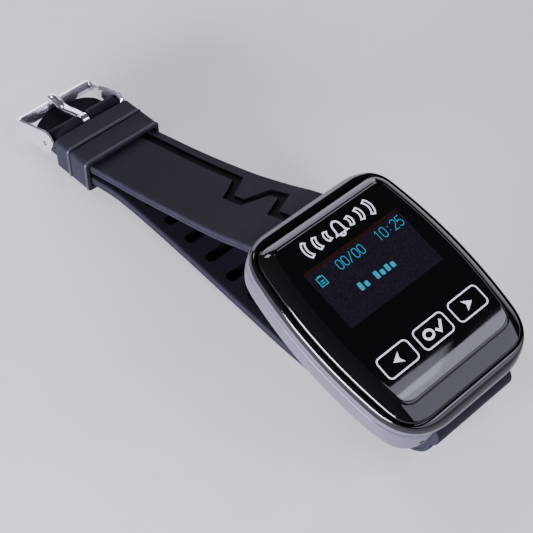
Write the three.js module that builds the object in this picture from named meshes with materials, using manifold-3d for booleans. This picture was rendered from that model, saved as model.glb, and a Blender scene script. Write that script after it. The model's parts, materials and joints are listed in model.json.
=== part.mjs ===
// Wrist pager with its strap folded back: a tilted case, two strap halves, two keepers and a buckle.
// Millimetres, +Z up. X runs across the strap and Y along it, from the case towards the buckle.
// The case is drawn in its own frame, with z = 0 on the lens face and y = 0 at the screen's centre.

import * as THREE from 'three';
import { mergeVertices } from 'three/addons/utils/BufferGeometryUtils.js';
import Module from 'manifold-3d';

// Driving dimensions.
const GAP = 0.3;
const CASE_TILT = THREE.MathUtils.degToRad(18.6);
const LENS_HEIGHT = 27.3;
const CASE_HALF_WIDTH = 20;
const CASE_WIDEST_Y = -6;
const CASE_BARREL = 0.005;
const CORNER_STEPS = 5;
const SIDE_STEPS = 6;

// Plan outlines of the case, from the outer rim inwards.
const RIM = { inset: 0, top: 18.3, bottom: -30, topCorner: 7.2, bottomCorner: 10.3 };
const SEAM = { inset: 1.25, top: 15.6, bottom: -27.7, topCorner: 3.4, bottomCorner: 5.8 };
const FACE = { inset: 4, top: 13.1, bottom: -23.8, topCorner: 1.8, bottomCorner: 2.6 };
const BODY_FOOT = { inset: 1.2, top: 17.1, bottom: -29.4, topCorner: 5, bottomCorner: 6 };
const CAVITY = { inset: 2, top: 11.2, bottom: -23.4, topCorner: 3, bottomCorner: 4 };
const BACK_PLATE = { inset: 1.7, top: 15.6, bottom: -27.4, topCorner: 3.6, bottomCorner: 6 };

// Heights in the case frame.
const BEZEL_TOP = -2.3;
const BEZEL_BASE = -5;
const LEDGE_Z = -3.5;
const BODY_TOP = -5.3;
const BODY_BASE = -11;
const BACK_TOP = -11.3;
const BACK_BASE = -12.4;
const LENS_THICKNESS = 1.2;
const PCB_TOP = -5.4;
const PCB_THICKNESS = 1;

// Spring bars: the first two are placed in the case frame, the buckle's in the part's frame.
const BAR_RADIUS = 0.75;
const UPPER_BAR = { y: 15.6, z: -9.2, barrel: 2.4 };
const LOWER_BAR = { y: -28.3, z: -8.8, barrel: 3 };
const CASE_BAR_HALF = 12.4;
const BUCKLE_BAR = { y: 89.5, z: 5.8, barrel: 1.9 };
const BUCKLE_BAR_HALF = 11;
const NOTCH_HALF_WIDTH = 11.2;

// Straps, keepers and buckle.
const STRAP_THICKNESS = 2;
const STRAP_LUG_HALF = 10.4;
const STRAP_HALF = 9.2;
const STRAP_EDGE = 0.45;
const BUCKLE_STRAP_STEPS = 34;
const HOLE_STRAP_STEPS = 60;
const SLOT_COUNT = 6;
const SLOT_FIRST_Y = 59.2;
const SLOT_PITCH = 6.75;
const SLOT_WIDTH = 2.6;
const SLOT_MARGIN = 2.4;
const KEEPER = { half: 10.6, top: 8.4, wall: 1.1, corner: 1.1 };
const KEEPER_SPANS = { sliding_keeper: [75.2, 81.1], fixed_keeper: [81.4, 86.7] };
const CHEEK_INNER = 9.6;
const CHEEK_TOP_OUTER = 10.3;
const CHEEK_BASE_OUTER = 11.5;
const FAR_BAR = { near: 99.9, far: 101.7, base: 2.7, top: 5.3 };
const TONGUE_WIDTH = 2.2;
const TONGUE_THICKNESS = 1.1;
const TONGUE_RING = 1.7;
const TONGUE_STEPS = 14;

const wasm = await Module();
wasm.setup();

const MATERIALS = {
  glossBlack: { color: 0x08080a, roughness: 0.06, metalness: 0 },
  satinPlastic: { color: 0x3c3a44, roughness: 0.38, metalness: 0 },
  rubber: { color: 0x26262e, roughness: 0.6, metalness: 0 },
  chrome: { color: 0xd8d6de, roughness: 0.08, metalness: 1 },
  steel: { color: 0xb4b6ba, roughness: 0.3, metalness: 1 },
  glass: { color: 0x1c1a20, roughness: 0.1, metalness: 0 },
  board: { color: 0x1d5a33, roughness: 0.5, metalness: 0 },
  pouch: { color: 0xa8abb2, roughness: 0.4, metalness: 0.4 },
  copper: { color: 0xb87333, roughness: 0.3, metalness: 1 },
  gold: { color: 0xd4af5a, roughness: 0.25, metalness: 1 },
  seal: { color: 0x3a3a3c, roughness: 0.8, metalness: 0 },
  film: { color: 0x9a7a3c, roughness: 0.5, metalness: 0 },
};

function makeMesh(name, geometry, finish) {
  const mesh = new THREE.Mesh(geometry, new THREE.MeshStandardMaterial(MATERIALS[finish]));
  mesh.name = name;
  return mesh;
}

// Solid modelling helpers.
function toSolid(geometry) {
  const bare = geometry.clone();
  bare.deleteAttribute('normal');
  bare.deleteAttribute('uv');
  const merged = mergeVertices(bare, 1e-4);
  return new wasm.Manifold(new wasm.Mesh({
    numProp: 3,
    vertProperties: Float32Array.from(merged.attributes.position.array),
    triVerts: Uint32Array.from(merged.index.array),
  }));
}

function toGeometry(solid) {
  const mesh = solid.getMesh();
  const geometry = new THREE.BufferGeometry();
  geometry.setAttribute('position', new THREE.BufferAttribute(mesh.vertProperties, 3));
  geometry.setIndex(new THREE.BufferAttribute(mesh.triVerts, 1));
  return geometry;
}

function combine(added, removed = []) {
  const whole = added.map(toSolid).reduce((body, piece) => body.add(piece));
  return toGeometry(removed.map(toSolid).reduce((body, piece) => body.subtract(piece), whole));
}

function signedVolume(points, faces) {
  let total = 0;
  for (let i = 0; i < faces.length; i += 3) {
    const [a, b, c] = [points[faces[i]], points[faces[i + 1]], points[faces[i + 2]]];
    total += a.dot(new THREE.Vector3().crossVectors(b, c));
  }
  return total;
}

// Closes the ring that starts at point number `first` with a fan of triangles around its centre.
function capRing(points, faces, first, count, flip) {
  const centre = new THREE.Vector3();
  for (let i = 0; i < count; i++) {
    centre.add(points[first + i]);
  }
  points.push(centre.divideScalar(count));
  const hub = points.length - 1;
  for (let i = 0; i < count; i++) {
    const j = (i + 1) % count;
    faces.push(hub, first + (flip ? j : i), first + (flip ? i : j));
  }
}

// Joins rings of equal point counts. An open run is capped; a closed run comes back to its first ring.
function loft(rings, closed = false) {
  const count = rings[0].length;
  const points = rings.flat();
  const faces = [];
  const spans = closed ? rings.length : rings.length - 1;
  for (let r = 0; r < spans; r++) {
    const a = r * count;
    const b = ((r + 1) % rings.length) * count;
    for (let i = 0; i < count; i++) {
      const j = (i + 1) % count;
      faces.push(a + i, a + j, b + j, a + i, b + j, b + i);
    }
  }
  if (!closed) {
    capRing(points, faces, 0, count, true);
    capRing(points, faces, (rings.length - 1) * count, count, false);
  }
  if (signedVolume(points, faces) < 0) {
    faces.reverse();
  }
  const geometry = new THREE.BufferGeometry().setFromPoints(points);
  geometry.setIndex(faces);
  return geometry;
}

function box(minimum, maximum) {
  const low = new THREE.Vector3(...minimum);
  const size = new THREE.Vector3(...maximum).sub(low);
  const geometry = new THREE.BoxGeometry(size.x, size.y, size.z);
  return geometry.translate(low.x + size.x / 2, low.y + size.y / 2, low.z + size.z / 2);
}

function barAlongX(radius, half, y, z, segments = 20) {
  const geometry = new THREE.CylinderGeometry(radius, radius, 2 * half, segments);
  return geometry.rotateZ(Math.PI / 2).translate(0, y, z);
}

function post(radius, base, top, x, y, segments = 20) {
  const geometry = new THREE.CylinderGeometry(radius, radius, top - base, segments);
  return geometry.rotateX(Math.PI / 2).translate(x, y, (base + top) / 2);
}

// Half-width of the barrel-sided case at a distance y along it.
function caseHalfWidth(y) {
  return CASE_HALF_WIDTH - CASE_BARREL * (y - CASE_WIDEST_Y) ** 2;
}

// A corner that leaves the side along its tangent and ends on the straight end edge.
function cornerCurve(inset, sideY, endY) {
  const sideX = caseHalfWidth(sideY) - inset;
  const slope = -2 * CASE_BARREL * (sideY - CASE_WIDEST_Y);
  const controlX = sideX + slope * (endY - sideY);
  const flatX = controlX - Math.abs(endY - sideY);
  return new THREE.QuadraticBezierCurve(
    new THREE.Vector2(flatX, endY),
    new THREE.Vector2(controlX, endY),
    new THREE.Vector2(sideX, sideY),
  );
}

function outline({ inset, top, bottom, topCorner, bottomCorner }) {
  const upperY = top - topCorner;
  const lowerY = bottom + bottomCorner;
  const half = cornerCurve(inset, upperY, top).getPoints(CORNER_STEPS);
  for (let i = 1; i < SIDE_STEPS; i++) {
    const y = THREE.MathUtils.lerp(upperY, lowerY, i / SIDE_STEPS);
    half.push(new THREE.Vector2(caseHalfWidth(y) - inset, y));
  }
  half.push(...cornerCurve(inset, lowerY, bottom).getPoints(CORNER_STEPS).reverse());
  const mirrored = half.map((p) => new THREE.Vector2(-p.x, p.y)).reverse();
  return half.concat(mirrored);
}

// One plan outline lifted to a height, moved inwards by the same margin all round.
function ring(plan, z, margin = 0) {
  const moved = {
    ...plan,
    inset: plan.inset + margin,
    top: plan.top - margin,
    bottom: plan.bottom + margin,
  };
  return outline(moved).map((p) => new THREE.Vector3(p.x, p.y, z));
}

function strapNotches() {
  const upper = box([-NOTCH_HALF_WIDTH, UPPER_BAR.y - UPPER_BAR.barrel - GAP, -14],
    [NOTCH_HALF_WIDTH, 22, UPPER_BAR.z + UPPER_BAR.barrel + 2 * GAP]);
  const lower = box([-NOTCH_HALF_WIDTH, -36, -14],
    [NOTCH_HALF_WIDTH, LOWER_BAR.y + LOWER_BAR.barrel + GAP, LOWER_BAR.z + LOWER_BAR.barrel + GAP]);
  return [upper, lower];
}

const SCREW_PLACES = [[14.3, 12.9], [-14.3, 12.9], [13.2, -24.6], [-13.2, -24.6]];
const CONTACT_PLACES = { charge_contact_left: [-4, -9], charge_contact_right: [4, -9] };

// Case shells.
function bezel() {
  const section = [
    ring(RIM, BEZEL_BASE),
    ring(RIM, BEZEL_BASE + 1.2),
    ring(RIM, BEZEL_BASE + 2.1, 0.35),
    ring(SEAM, BEZEL_TOP),
    ring(SEAM, LEDGE_Z),
    ring(SEAM, LEDGE_Z, 1.2),
    ring(SEAM, BEZEL_BASE, 1.2),
  ];
  return makeMesh('bezel', loft(section, true), 'glossBlack');
}

function lensCover() {
  const skirtBase = LEDGE_Z + GAP;
  const section = [
    ring(FACE, 0),
    ring(FACE, -0.4, -0.45),
    ring(SEAM, BEZEL_TOP + 0.3, GAP),
    ring(SEAM, skirtBase, GAP),
    ring(SEAM, skirtBase, GAP + 1),
    ring(FACE, -LENS_THICKNESS, 0.3),
  ];
  return makeMesh('lens_cover', loft(section), 'glossBlack');
}

function midCase() {
  const shell = loft([
    ring(RIM, BODY_TOP, 0.2),
    ring(RIM, BODY_TOP - 0.4, 0.05),
    ring(RIM, BODY_TOP - 3.6, 0.25),
    ring(BODY_FOOT, BODY_BASE),
  ]);
  const cavity = loft([ring(CAVITY, BODY_TOP + 1), ring(CAVITY, BODY_BASE - 1)]);
  const barHoles = [UPPER_BAR, LOWER_BAR].map(
    ({ y, z }) => barAlongX(BAR_RADIUS + GAP, CASE_BAR_HALF + GAP, y, z),
  );
  const screwHoles = SCREW_PLACES.map(([x, y]) => post(0.9, BODY_BASE - 1, -8, x, y, 12));
  const cuts = [cavity, ...strapNotches(), ...barHoles, ...screwHoles];
  return makeMesh('mid_case', combine([shell], cuts), 'satinPlastic');
}

function backCover() {
  const plate = loft([
    ring(BACK_PLATE, BACK_TOP),
    ring(BACK_PLATE, BACK_BASE + 0.4),
    ring(BACK_PLATE, BACK_BASE, 0.5),
  ]);
  const screwHoles = SCREW_PLACES.map(([x, y]) => post(1.6, BACK_BASE - 1, BACK_TOP + 1, x, y, 16));
  const contactHoles = Object.values(CONTACT_PLACES).map(
    ([x, y]) => post(1.6, BACK_BASE - 1, BACK_TOP + 1, x, y),
  );
  const cuts = [...strapNotches(), ...screwHoles, ...contactHoles];
  return makeMesh('back_cover', combine([plate], cuts), 'satinPlastic');
}

function backScrews() {
  return SCREW_PLACES.map(([x, y], i) => {
    const head = post(1.3, BACK_BASE + 0.1, BACK_TOP - 0.1, x, y);
    const shank = post(0.6, BACK_TOP - 0.3, -8.6, x, y, 12);
    return makeMesh(`back_screw_${i + 1}`, combine([head, shank]), 'steel');
  });
}

function caseGasket() {
  const section = [
    ring(CAVITY, BODY_BASE + 0.8, GAP),
    ring(CAVITY, BODY_BASE, GAP),
    ring(CAVITY, BODY_BASE, GAP + 0.9),
    ring(CAVITY, BODY_BASE + 0.8, GAP + 0.9),
  ];
  return makeMesh('case_gasket', loft(section, true), 'seal');
}

// Electronics inside the case.
function plainBlock(name, finish, minimum, maximum) {
  return makeMesh(name, box(minimum, maximum), finish);
}

function displayHolder() {
  const frame = box([-14.2, -9.6, -5], [14.2, 10.2, -3.4]);
  const window = box([-11.5, -7.6, -6], [11.5, 8.2, -2]);
  return makeMesh('display_holder', combine([frame], [window]), 'satinPlastic');
}

function mainBoard() {
  const board = loft([
    ring(CAVITY, PCB_TOP, 0.7),
    ring(CAVITY, PCB_TOP - PCB_THICKNESS, 0.7),
  ]);
  return makeMesh('main_pcb', board, 'board');
}

function vibrationMotor() {
  return makeMesh('vibration_motor', post(4.5, -9.8, -7.2, 8.4, -17.2, 24), 'steel');
}

function antennaCoil() {
  return makeMesh('antenna_coil', barAlongX(1.3, 6.5, -19.4, -8.5, 16).translate(-5.6, 0, 0), 'copper');
}

function chargeContacts() {
  return Object.entries(CONTACT_PLACES).map(
    ([name, [x, y]]) => makeMesh(name, post(1.2, BACK_BASE, BACK_TOP + 0.1, x, y), 'gold'),
  );
}

function electronics() {
  return [
    plainBlock('oled_display', 'glass', [-13.3, -9.2, -3.1], [13.3, 9.9, -1.6]),
    plainBlock('touch_sensor', 'film', [-14, -20.2, -2], [14, -12.4, -1.6]),
    displayHolder(),
    mainBoard(),
    plainBlock('radio_shield', 'steel', [-13, -20.4, -5.1], [-2.6, -11.6, -3.4]),
    plainBlock('processor_chip', 'seal', [2.2, -19.6, -5.1], [9.4, -12.4, -4.1]),
    plainBlock('battery', 'pouch', [-12.5, -11.6, -10.6], [12.5, 9.4, -6.8]),
    vibrationMotor(),
    antennaCoil(),
    ...chargeContacts(),
  ];
}

// Strap halves. A path point is [y, z] of the strap's mid-thickness and its half-width there.
function toPartFrame(bar) {
  const y = bar.y * Math.cos(CASE_TILT) - bar.z * Math.sin(CASE_TILT);
  const z = bar.y * Math.sin(CASE_TILT) + bar.z * Math.cos(CASE_TILT) + LENS_HEIGHT;
  return [y, z];
}

// The eight corners of the strap's cross-section, a rectangle with its edges cut at 45 degrees.
function strapSection(half) {
  const wide = [half, STRAP_THICKNESS / 2 - STRAP_EDGE];
  const high = [half - STRAP_EDGE, STRAP_THICKNESS / 2];
  const quarters = [[1, -1], [1, 1], [-1, 1], [-1, -1]];
  return quarters.flatMap(([sideX, sideZ]) => {
    const ordered = sideX * sideZ > 0 ? [wide, high] : [high, wide];
    return ordered.map(([across, up]) => [sideX * across, sideZ * up]);
  });
}

function strapRings(stations, steps) {
  const path = new THREE.CatmullRomCurve3(stations.map(([y, z, half]) => new THREE.Vector3(half, y, z)));
  return Array.from({ length: steps + 1 }, (_, i) => {
    const { x: half, y, z } = path.getPointAt(i / steps);
    const along = path.getTangentAt(i / steps).setX(0).normalize();
    const normal = new THREE.Vector3(0, -along.z, along.y);
    return strapSection(half).map(([x, up]) => new THREE.Vector3(x, y, z).addScaledVector(normal, up));
  });
}

function buckleStrap() {
  const [barY, barZ] = toPartFrame(UPPER_BAR);
  const stations = [
    [barY, barZ, STRAP_LUG_HALF],
    [25, 21.05, STRAP_LUG_HALF],
    [31.2, 18.45, 10.2],
    [37.6, 16.1, 9.9],
    [44.2, 14, 9.6],
    [57.6, 10.2, 9.35],
    [71.6, 6.85, STRAP_HALF],
    [75.4, 5.9, STRAP_HALF],
    [80, 5.4, STRAP_HALF],
    [85.5, 5.4, STRAP_HALF],
    [BUCKLE_BAR.y, BUCKLE_BAR.z, STRAP_HALF],
  ];
  const band = loft(strapRings(stations, BUCKLE_STRAP_STEPS));
  const lugBarrel = barAlongX(UPPER_BAR.barrel, STRAP_LUG_HALF, barY, barZ, 24);
  const buckleBarrel = barAlongX(BUCKLE_BAR.barrel, STRAP_HALF, BUCKLE_BAR.y, BUCKLE_BAR.z, 24);
  const lugBore = barAlongX(BAR_RADIUS + GAP, STRAP_LUG_HALF + 1, barY, barZ);
  const buckleBore = barAlongX(BAR_RADIUS + GAP, STRAP_HALF + 1, BUCKLE_BAR.y, BUCKLE_BAR.z);
  const tongueHalf = TONGUE_WIDTH / 2 + GAP;
  const tongueSlot = box([-tongueHalf, BUCKLE_BAR.y - TONGUE_RING - GAP, 0], [tongueHalf, 94, 12]);
  const solid = combine([band, lugBarrel, buckleBarrel], [lugBore, buckleBore, tongueSlot]);
  return makeMesh('buckle_strap', solid, 'rubber');
}

function slotCutter(y, half) {
  const radius = SLOT_WIDTH / 2;
  const shape = new THREE.Shape();
  shape.absarc(half - radius, 0, radius, -Math.PI / 2, Math.PI / 2);
  shape.absarc(radius - half, 0, radius, Math.PI / 2, (3 * Math.PI) / 2);
  const options = { depth: 9, bevelEnabled: false, curveSegments: 6 };
  return new THREE.ExtrudeGeometry(shape, options).translate(0, y, -1);
}

function holeStrapHalf(y) {
  return THREE.MathUtils.clamp(10.5 - 0.03 * (y - 16), STRAP_HALF, 10.5);
}

function holeStrap() {
  const [barY, barZ] = toPartFrame(LOWER_BAR);
  const stations = [
    [barY, barZ, STRAP_LUG_HALF],
    [-24.4, 6.4, STRAP_LUG_HALF],
    [-22.2, 3.1, STRAP_LUG_HALF],
    [-17.5, 1.3, STRAP_LUG_HALF],
    [-9, STRAP_THICKNESS / 2 + 0.1, 10.5],
    [10.8, STRAP_THICKNESS / 2 + 0.15, 10.5],
    [28.6, 2.4, holeStrapHalf(28.6)],
    [45, 3.4, holeStrapHalf(45)],
    [60, 4, 9.3],
    [68, 3.75, STRAP_HALF],
    [75, 2.6, STRAP_HALF],
    [84, 2.45, STRAP_HALF],
    [94.5, 2.45, STRAP_HALF],
    [97.4, 2.45, 8],
    [98.9, 2.45, 6],
    [99.7, 2.45, 3],
  ];
  const band = loft(strapRings(stations, HOLE_STRAP_STEPS));
  const barrel = barAlongX(LOWER_BAR.barrel, STRAP_LUG_HALF, barY, barZ, 24);
  const bore = barAlongX(BAR_RADIUS + GAP, STRAP_LUG_HALF + 1, barY, barZ);
  const slots = Array.from({ length: SLOT_COUNT }, (_, i) => {
    const y = SLOT_FIRST_Y - i * SLOT_PITCH;
    return slotCutter(y, holeStrapHalf(y) - SLOT_MARGIN);
  });
  return makeMesh('hole_strap', combine([band, barrel], [bore, ...slots]), 'rubber');
}

function roundedRectangle(path, half, base, top, radius) {
  path.absarc(half - radius, base + radius, radius, -Math.PI / 2, 0);
  path.absarc(half - radius, top - radius, radius, 0, Math.PI / 2);
  path.absarc(radius - half, top - radius, radius, Math.PI / 2, Math.PI);
  path.absarc(radius - half, base + radius, radius, Math.PI, (3 * Math.PI) / 2);
  return path;
}

function keeper(name) {
  const [near, far] = KEEPER_SPANS[name];
  const { half, top, wall, corner } = KEEPER;
  const shape = roundedRectangle(new THREE.Shape(), half, 0, top, corner);
  shape.holes.push(roundedRectangle(new THREE.Path(), half - wall, wall, top - wall, corner / 2));
  const options = { depth: far - near, bevelEnabled: false, curveSegments: 3 };
  const geometry = new THREE.ExtrudeGeometry(shape, options).rotateX(Math.PI / 2).translate(0, far, 0);
  return makeMesh(name, geometry, 'rubber');
}

// Buckle. Each cheek station is [y, base z, top z].
const CHEEK_STATIONS = [
  [87.2, 5, 6.8],
  [87.8, 4.3, 7.8],
  [88.8, 3.8, 8.5],
  [89.9, 3.6, 8.6],
  [92.4, 3.6, 7.9],
  [96.4, 3.3, 6.7],
  [100.2, 2.8, 5.5],
  [FAR_BAR.far, 2.6, 4.9],
];

function cheek(side) {
  const rings = CHEEK_STATIONS.map(([y, base, top]) => [
    new THREE.Vector3(side * CHEEK_INNER, y, base),
    new THREE.Vector3(side * CHEEK_BASE_OUTER, y, base),
    new THREE.Vector3(side * CHEEK_TOP_OUTER, y, top),
    new THREE.Vector3(side * CHEEK_INNER, y, top),
  ]);
  return loft(rings);
}

function buckleFrame() {
  const reach = CHEEK_INNER + 0.2;
  const farBar = box([-reach, FAR_BAR.near, FAR_BAR.base], [reach, FAR_BAR.far, FAR_BAR.top]);
  const rest = box([-1.6, FAR_BAR.near - 0.3, FAR_BAR.top - 0.6], [1.6, 103, 8]);
  const bores = barAlongX(BAR_RADIUS + GAP, CHEEK_BASE_OUTER + 1, BUCKLE_BAR.y, BUCKLE_BAR.z);
  return makeMesh('buckle_frame', combine([cheek(1), cheek(-1), farBar], [rest, bores]), 'chrome');
}

function buckleTongue() {
  const half = TONGUE_WIDTH / 2;
  const path = new THREE.CatmullRomCurve3([
    [BUCKLE_BAR.y, BUCKLE_BAR.z + 1.1],
    [92.5, 6.3],
    [96.4, 5.1],
    [99.3, 5.4],
    [101.4, 5.6],
    [102.8, 4.8],
  ].map(([y, z]) => new THREE.Vector3(0, y, z)));
  const rings = Array.from({ length: TONGUE_STEPS + 1 }, (_, i) => {
    const { y, z } = path.getPointAt(i / TONGUE_STEPS);
    const along = path.getTangentAt(i / TONGUE_STEPS);
    const lift = new THREE.Vector3(0, -along.z, along.y).multiplyScalar(TONGUE_THICKNESS / 2);
    const place = (sx, sz) => new THREE.Vector3(sx * half, y, z).addScaledVector(lift, sz);
    return [place(1, -1), place(1, 1), place(-1, 1), place(-1, -1)];
  });
  const eye = barAlongX(TONGUE_RING, half, BUCKLE_BAR.y, BUCKLE_BAR.z, 24);
  const bore = barAlongX(BAR_RADIUS + GAP, half + 1, BUCKLE_BAR.y, BUCKLE_BAR.z);
  return makeMesh('buckle_tongue', combine([loft(rings), eye], [bore]), 'chrome');
}

function springBar(name, half, y, z) {
  return makeMesh(name, barAlongX(BAR_RADIUS, half, y, z, 16), 'steel');
}

function buildCase() {
  const group = new THREE.Group();
  group.add(bezel(), lensCover(), midCase(), backCover(), caseGasket());
  group.add(...backScrews(), ...electronics());
  group.add(springBar('upper_spring_bar', CASE_BAR_HALF, UPPER_BAR.y, UPPER_BAR.z));
  group.add(springBar('lower_spring_bar', CASE_BAR_HALF, LOWER_BAR.y, LOWER_BAR.z));
  group.rotation.x = CASE_TILT;
  group.position.z = LENS_HEIGHT;
  return group;
}

function buildStrap() {
  const group = new THREE.Group();
  group.add(buckleStrap(), holeStrap(), keeper('fixed_keeper'), keeper('sliding_keeper'));
  group.add(buckleFrame(), buckleTongue());
  group.add(springBar('buckle_spring_bar', BUCKLE_BAR_HALF, BUCKLE_BAR.y, BUCKLE_BAR.z));
  return group;
}

// Stands the whole pager on z = 0 with its plan centred on the origin.
function standOnFloor(model) {
  model.updateMatrixWorld(true);
  const bounds = new THREE.Box3().setFromObject(model, true);
  const centre = bounds.getCenter(new THREE.Vector3());
  model.position.set(-centre.x, -centre.y, -bounds.min.z);
  return model;
}

const pager = new THREE.Group();
pager.add(buildCase(), buildStrap());

export default standOnFloor(pager);
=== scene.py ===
"""Looks for the wrist pager: detailed meshes, procedural materials, lights and camera round the frame.

Millimetres are used inside the case frame and the strap frame, and metres in the row frame.
"""

import json
import math

import bmesh
import bpy
from mathutils import Matrix, Vector

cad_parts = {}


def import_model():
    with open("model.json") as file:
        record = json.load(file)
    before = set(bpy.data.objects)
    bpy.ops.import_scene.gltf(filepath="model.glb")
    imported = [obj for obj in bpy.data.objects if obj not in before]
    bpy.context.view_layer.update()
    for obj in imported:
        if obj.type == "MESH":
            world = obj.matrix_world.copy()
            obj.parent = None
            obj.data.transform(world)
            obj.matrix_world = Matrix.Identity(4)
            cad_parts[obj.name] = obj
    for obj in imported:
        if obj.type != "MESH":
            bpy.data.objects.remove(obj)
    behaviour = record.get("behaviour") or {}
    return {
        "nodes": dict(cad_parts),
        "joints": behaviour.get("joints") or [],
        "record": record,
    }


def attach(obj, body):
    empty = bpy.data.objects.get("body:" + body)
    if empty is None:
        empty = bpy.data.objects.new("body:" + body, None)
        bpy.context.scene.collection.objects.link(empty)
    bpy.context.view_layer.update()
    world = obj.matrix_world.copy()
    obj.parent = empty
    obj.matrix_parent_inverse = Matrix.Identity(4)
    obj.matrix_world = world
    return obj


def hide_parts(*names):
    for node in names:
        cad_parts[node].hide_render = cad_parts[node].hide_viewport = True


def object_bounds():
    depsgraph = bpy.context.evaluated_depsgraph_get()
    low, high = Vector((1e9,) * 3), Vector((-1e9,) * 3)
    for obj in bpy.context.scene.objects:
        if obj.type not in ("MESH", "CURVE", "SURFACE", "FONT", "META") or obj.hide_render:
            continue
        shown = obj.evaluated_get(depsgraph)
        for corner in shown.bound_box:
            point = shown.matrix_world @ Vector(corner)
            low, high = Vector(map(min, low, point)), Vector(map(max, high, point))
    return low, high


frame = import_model()
CAD_BOX = [list(corner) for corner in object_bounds()]

MM = 0.001
BODY = "pager_body"

# ---------------------------------------------------------------- frames
MOUNTS = {mount["name"]: mount for mount in frame["record"]["mounts"]}
JOINTS = {joint["name"]: joint for joint in frame["joints"]}
CASE_BACK_POINT = Vector((8, -6, -12.4))
BUCKLE_BAR_POINT = Vector((0, 89.5, 5.8))


def case_matrix():
    """From the case frame, with z = 0 on the lens and y = 0 at the screen's centre, to the row frame."""
    mount = MOUNTS["case_back"]
    tilt = math.atan2(mount["axis"][1], -mount["axis"][2])
    turn = Matrix.Rotation(tilt, 4, "X")
    place = Matrix.Translation(Vector(mount["pos_m"]))
    return place @ turn @ Matrix.Scale(MM, 4) @ Matrix.Translation(-CASE_BACK_POINT)


def strap_matrix():
    """From the strap frame, with z = 0 on the surface that the pager lies on, to the row frame."""
    place = Matrix.Translation(Vector(JOINTS["buckle_swing"]["pos_m"]))
    return place @ Matrix.Scale(MM, 4) @ Matrix.Translation(-BUCKLE_BAR_POINT)


CASE = case_matrix()
STRAP = strap_matrix()
CASE_IN_STRAP = STRAP.inverted() @ CASE

# ---------------------------------------------------------------- dimensions, in millimetres
HALF_WIDTH = 20
WIDEST_Y = -6
BARREL = 0.005
CORNER_STEPS = 20
SIDE_STEPS = 24
END_STEPS = 10

RIM = {"inset": 0, "top": 18.3, "bottom": -30, "top_corner": 7.2, "bottom_corner": 10.3}
SEAM = {"inset": 1.25, "top": 15.6, "bottom": -27.7, "top_corner": 3.4, "bottom_corner": 5.8}
FACE = {"inset": 4, "top": 13.1, "bottom": -23.8, "top_corner": 1.8, "bottom_corner": 2.6}
BODY_FOOT = {"inset": 1.2, "top": 17.1, "bottom": -29.4, "top_corner": 5, "bottom_corner": 6}
CAVITY = {"inset": 2, "top": 11.2, "bottom": -23.4, "top_corner": 3, "bottom_corner": 4}
BACK_PLATE = {"inset": 1.7, "top": 15.6, "bottom": -27.4, "top_corner": 3.6, "bottom_corner": 6}

GAP = 0.3
BEZEL_BASE = -5
SEAM_Z = -2.3
LEDGE_Z = -3.5
BODY_TOP = -5.3
BODY_BASE = -11
BACK_TOP = -11.3
BACK_BASE = -12.4
UPPER_BAR = {"y": 15.6, "z": -9.2, "barrel": 2.4}
LOWER_BAR = {"y": -28.3, "z": -8.8, "barrel": 3}
NOTCH_HALF = 11.2
BAR_HOLE = 1.05
SCREW_PLACES = [(14.3, 12.9), (-14.3, 12.9), (13.2, -24.6), (-13.2, -24.6)]
CONTACT_PLACES = [(-4, -9), (4, -9)]

WINDOW = {"half_x": 12.25, "half_y": 6.6}
KEY = {"half_x": 4.02, "half_y": 2.37, "pitch": 9.47, "y": -15.95, "corner": 0.95, "line": 0.3}
INK_LIFT = 0.02

STRAP_HALF = 9.2
LUG_HALF = 10.4
STRAP_THICKNESS = 2
GROOVE = {"width": 2.1, "depth": 0.6}
SLOTS = {"count": 6, "first_y": 59.2, "pitch": 6.75, "width": 2.6, "margin": 2.4, "draft": 0.9,
         "lean": 0.45}
KEEPER = {"half": 10.6, "top": 8.4, "wall": 1.1, "corner": 1.1}
KEEPER_SPANS = {"sliding_keeper": (75.2, 81.1), "fixed_keeper": (81.4, 86.5)}
CHEEK_INNER = 9.6
CHEEK_TOP_OUTER = 10.3
CHEEK_BASE_OUTER = 11.5
FAR_BAR = {"near": 99.9, "far": 101.7, "base": 2.7, "top": 5.3}
TONGUE = {"half": 1.1, "thickness": 1.4, "ring": 1.7}


# ---------------------------------------------------------------- mesh helpers
def make_object(name, points, faces, matrix, finish=None, body=BODY, slot=None, replaces=(), smooth=35):
    """A mesh piece from millimetre points, facing outwards; edges over `smooth` degrees stay crisp."""
    mesh = bpy.data.meshes.new(name)
    mesh.from_pydata([matrix @ Vector(p) for p in points], [], faces)
    if finish:
        mesh.materials.append(finish)
    tidy_normals(mesh, smooth)
    piece = bpy.data.objects.new(name, mesh)
    bpy.context.scene.collection.objects.link(piece)
    if body:
        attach(piece, body)
    if replaces:
        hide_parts(*replaces)
    return piece


def tidy_normals(mesh, smooth):
    work = bmesh.new()
    work.from_mesh(mesh)
    bmesh.ops.recalc_face_normals(work, faces=work.faces)
    work.to_mesh(mesh)
    work.free()
    mesh.polygons.foreach_set("use_smooth", [True] * len(mesh.polygons))
    mesh.set_sharp_from_angle(angle=math.radians(smooth))


def loft(rings, closed=False, cap=True):
    """Points and quads that join rings of equal counts, with flat caps at the ends of an open run."""
    count = len(rings[0])
    points = [point for ring in rings for point in ring]
    faces = []
    spans = len(rings) if closed else len(rings) - 1
    for r in range(spans):
        a = r * count
        b = (r + 1) % len(rings) * count
        for i in range(count):
            j = (i + 1) % count
            faces.append((a + i, a + j, b + j, b + i))
    if cap and not closed:
        last = (len(rings) - 1) * count
        faces.append(tuple(range(count)))
        faces.append(tuple(range(last, last + count)))
    return points, faces


def box_mesh(low, high):
    rings = [[(low[0], low[1], z), (high[0], low[1], z), (high[0], high[1], z), (low[0], high[1], z)]
             for z in (low[2], high[2])]
    return loft(rings)


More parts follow.
